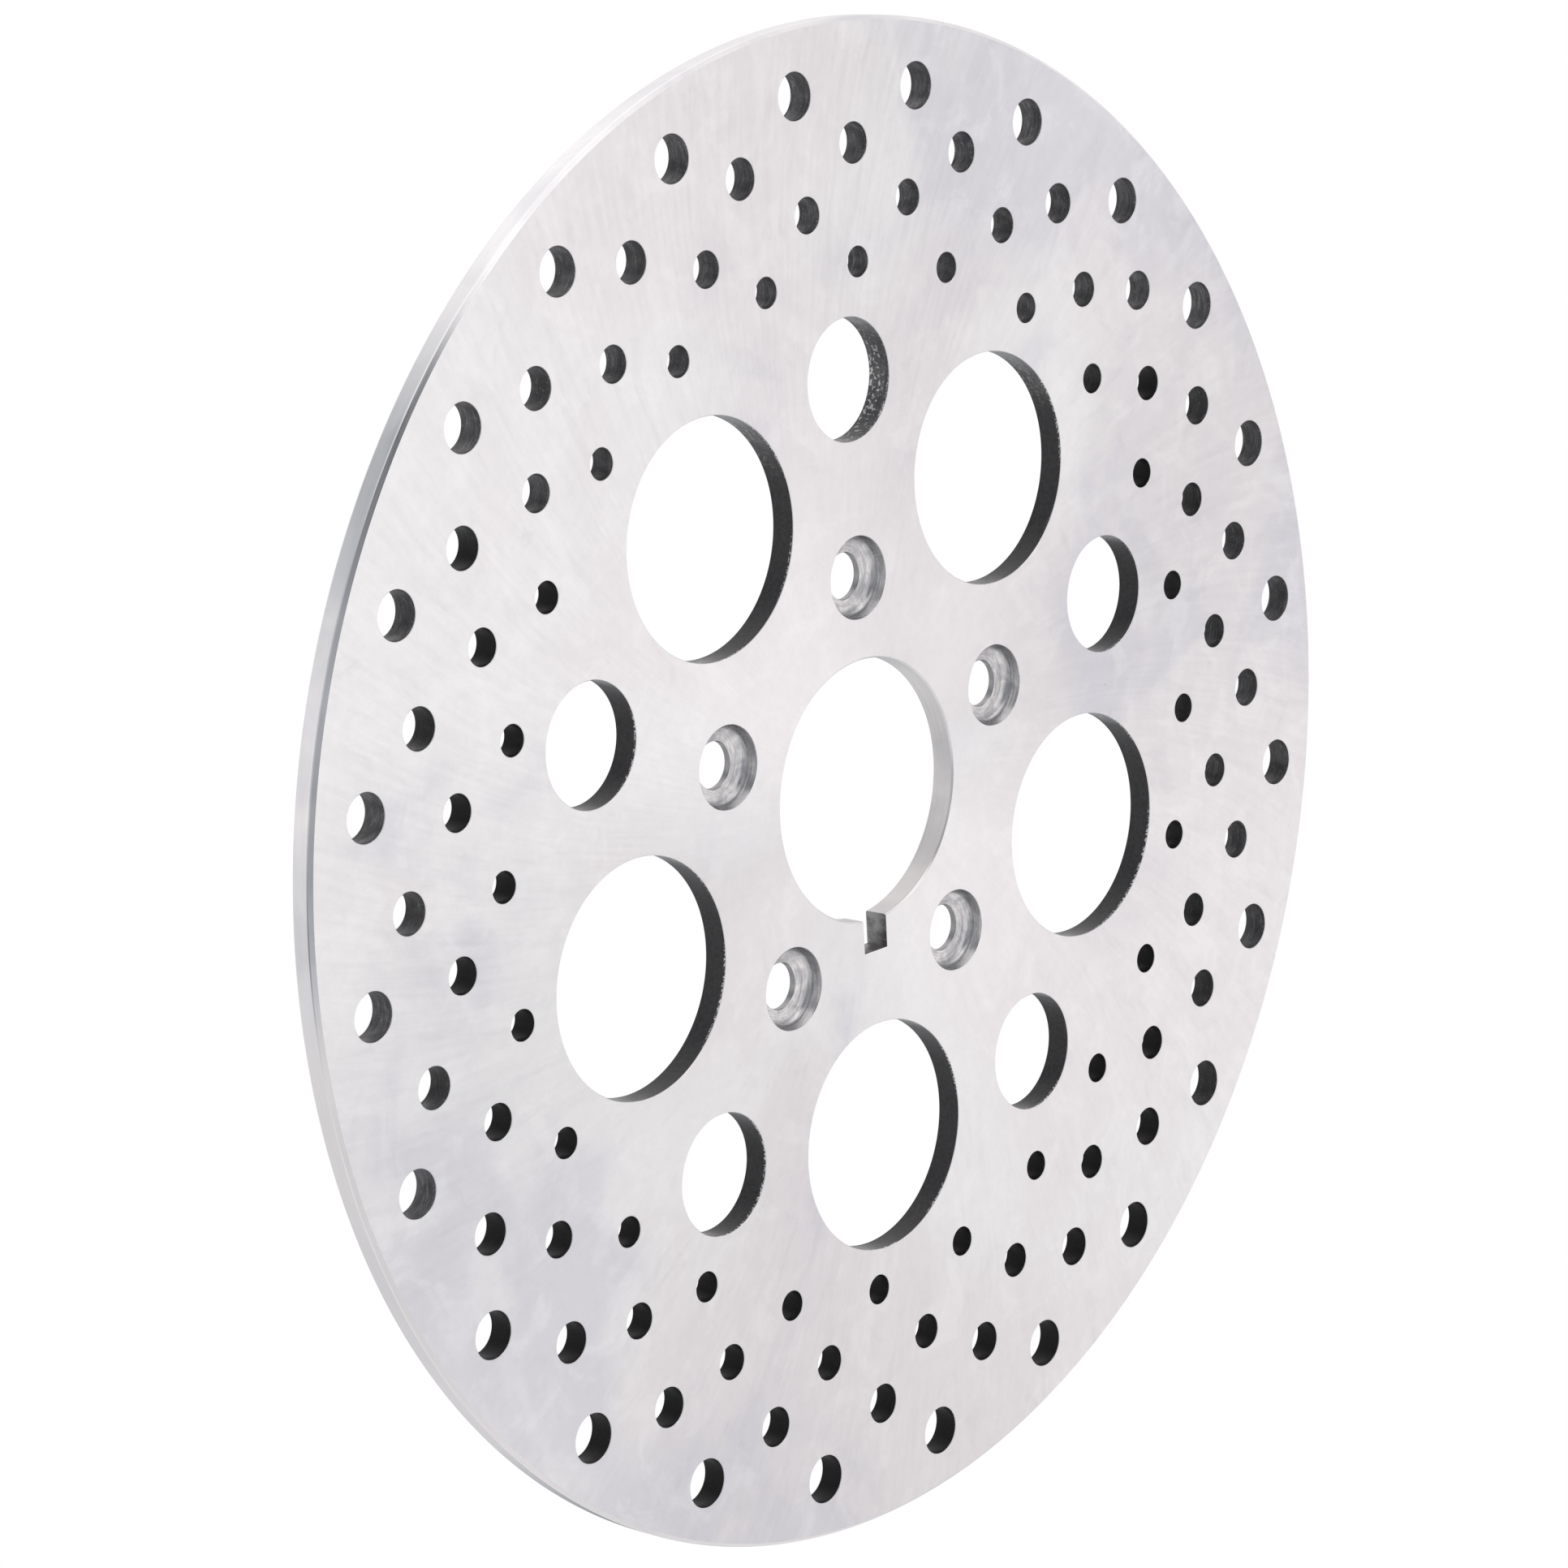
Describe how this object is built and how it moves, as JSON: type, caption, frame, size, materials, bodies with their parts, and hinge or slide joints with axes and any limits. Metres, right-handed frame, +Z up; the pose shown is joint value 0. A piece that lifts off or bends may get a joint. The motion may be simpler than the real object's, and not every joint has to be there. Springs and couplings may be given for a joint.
{
  "type": "motorcycle brake disc",
  "caption": "Flat round brake disc for a motorcycle wheel, with a keyed centre bore, counterbored bolt holes, large lightening holes and rings of small drilled holes under the pads.",
  "frame": {"origin": "centre of the plate: on the axle line, halfway through the thickness", "axes": "Y is the axle: -Y out of the counterbored front face, +Y out of the hub face. +Z up through the top bolt hole, away from the keyway. +X to the right, seen from the front."},
  "size_m": [0.2921, 0.005, 0.292],
  "materials": {
    "disc_steel": "ground faces, dark heat-scaled hole walls, turned rim and bore"
  },
  "bodies": {
    "root": {"brake_disc": "disc_steel"}
  },
  "joints": []
}
